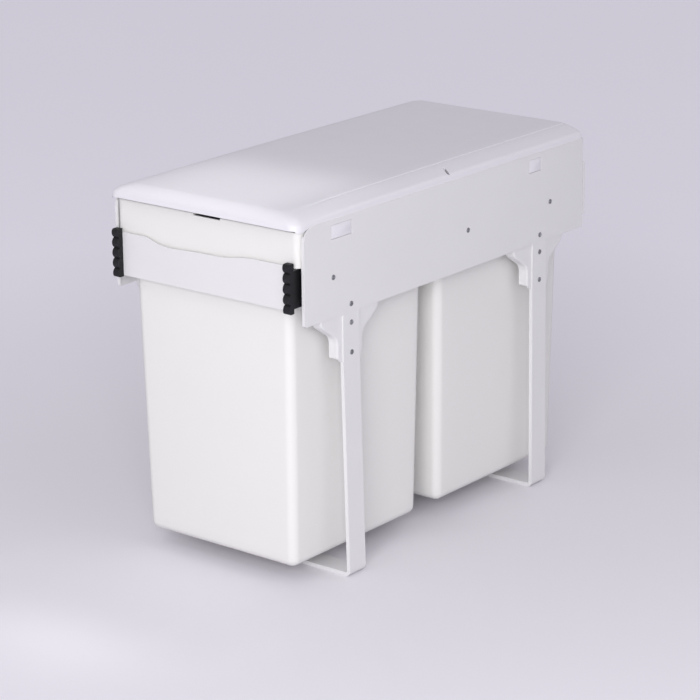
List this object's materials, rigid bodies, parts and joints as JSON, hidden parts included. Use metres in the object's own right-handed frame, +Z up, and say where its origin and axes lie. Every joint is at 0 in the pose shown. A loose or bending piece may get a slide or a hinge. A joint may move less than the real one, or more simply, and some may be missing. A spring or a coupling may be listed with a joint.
{
  "type": "pull out trash cabinet",
  "caption": "Pull-out kitchen waste unit: steel carcass on floor straps, fixed lid, and a drawer frame on ball slides that carries lift-in bins.",
  "frame": {"origin": "on the floor, under the middle of the whole unit", "axes": "+Z up, +Y towards the back of the cabinet, +X to the right; the drawer pulls out along -Y"},
  "size_m": [0.2504, 0.4835, 0.3787],
  "materials": {
    "white_steel": "white powder coat",
    "lid_plastic": "satin moulded",
    "bin_plastic": "fine moulded grain",
    "grip_plastic": "black moulded",
    "slide_steel": "bright zinc plate",
    "cage_steel": "zinc plate",
    "ball_steel": "ground",
    "fastener_steel": "zinc plate",
    "buffer_rubber": "matt"
  },
  "bodies": {
    "carcass": {"side_panel_left": "white_steel", "side_panel_right": "white_steel", "rear_cross_plate": "white_steel", "rear_plate_rivets": "fastener_steel", "foot_strap_front": "white_steel", "foot_strap_rear": "white_steel", "leg_bracket_front_left": "white_steel", "leg_bracket_front_right": "white_steel", "leg_bracket_rear_left": "white_steel", "leg_bracket_rear_right": "white_steel", "bracket_screws": "fastener_steel", "slide_rivets": "fastener_steel", "lid": "lid_plastic", "slide_outer_left": "slide_steel", "slide_outer_right": "slide_steel", "slide_end_buffers": "buffer_rubber"},
    "drawer": {"slide_inner_left": "slide_steel", "slide_inner_right": "slide_steel", "drawer_side_rail_left": "white_steel", "drawer_side_rail_right": "white_steel", "drawer_front_band": "white_steel", "drawer_rear_rail": "white_steel", "drawer_cross_rail": "white_steel", "rail_rivets": "fastener_steel", "grip_left": "grip_plastic", "grip_right": "grip_plastic", "grip_screws": "fastener_steel", "front_bin": "bin_plastic", "rear_bin": "bin_plastic"},
    "middle_slide_left": {"slide_middle_left": "slide_steel"},
    "outer_cage_left": {"outer_ball_cage_left": "cage_steel", "outer_balls_left": "ball_steel"},
    "inner_cage_left": {"inner_ball_cage_left": "cage_steel", "inner_balls_left": "ball_steel"},
    "middle_slide_right": {"slide_middle_right": "slide_steel"},
    "outer_cage_right": {"outer_ball_cage_right": "cage_steel", "outer_balls_right": "ball_steel"},
    "inner_cage_right": {"inner_ball_cage_right": "cage_steel", "inner_balls_right": "ball_steel"}
  },
  "joints": [
    {"name": "drawer_slide", "type": "slide", "parent": "carcass", "child": "drawer", "axis": [0, -1, 0], "range_m": [0, 0.45]},
    {"name": "middle_slide_left_travel", "type": "slide", "parent": "carcass", "child": "middle_slide_left", "axis": [0, -1, 0], "range_m": [0, 0.225]},
    {"name": "outer_cage_left_travel", "type": "slide", "parent": "carcass", "child": "outer_cage_left", "axis": [0, -1, 0], "range_m": [0, 0.1125]},
    {"name": "inner_cage_left_travel", "type": "slide", "parent": "carcass", "child": "inner_cage_left", "axis": [0, -1, 0], "range_m": [0, 0.3375]},
    {"name": "middle_slide_right_travel", "type": "slide", "parent": "carcass", "child": "middle_slide_right", "axis": [0, -1, 0], "range_m": [0, 0.225]},
    {"name": "outer_cage_right_travel", "type": "slide", "parent": "carcass", "child": "outer_cage_right", "axis": [0, -1, 0], "range_m": [0, 0.1125]},
    {"name": "inner_cage_right_travel", "type": "slide", "parent": "carcass", "child": "inner_cage_right", "axis": [0, -1, 0], "range_m": [0, 0.3375]}
  ],
  "couplings": [
    {"joint": "middle_slide_left_travel", "follows": "drawer_slide", "ratio": 0.5},
    {"joint": "outer_cage_left_travel", "follows": "drawer_slide", "ratio": 0.25},
    {"joint": "inner_cage_left_travel", "follows": "drawer_slide", "ratio": 0.75},
    {"joint": "middle_slide_right_travel", "follows": "drawer_slide", "ratio": 0.5},
    {"joint": "outer_cage_right_travel", "follows": "drawer_slide", "ratio": 0.25},
    {"joint": "inner_cage_right_travel", "follows": "drawer_slide", "ratio": 0.75}
  ]
}
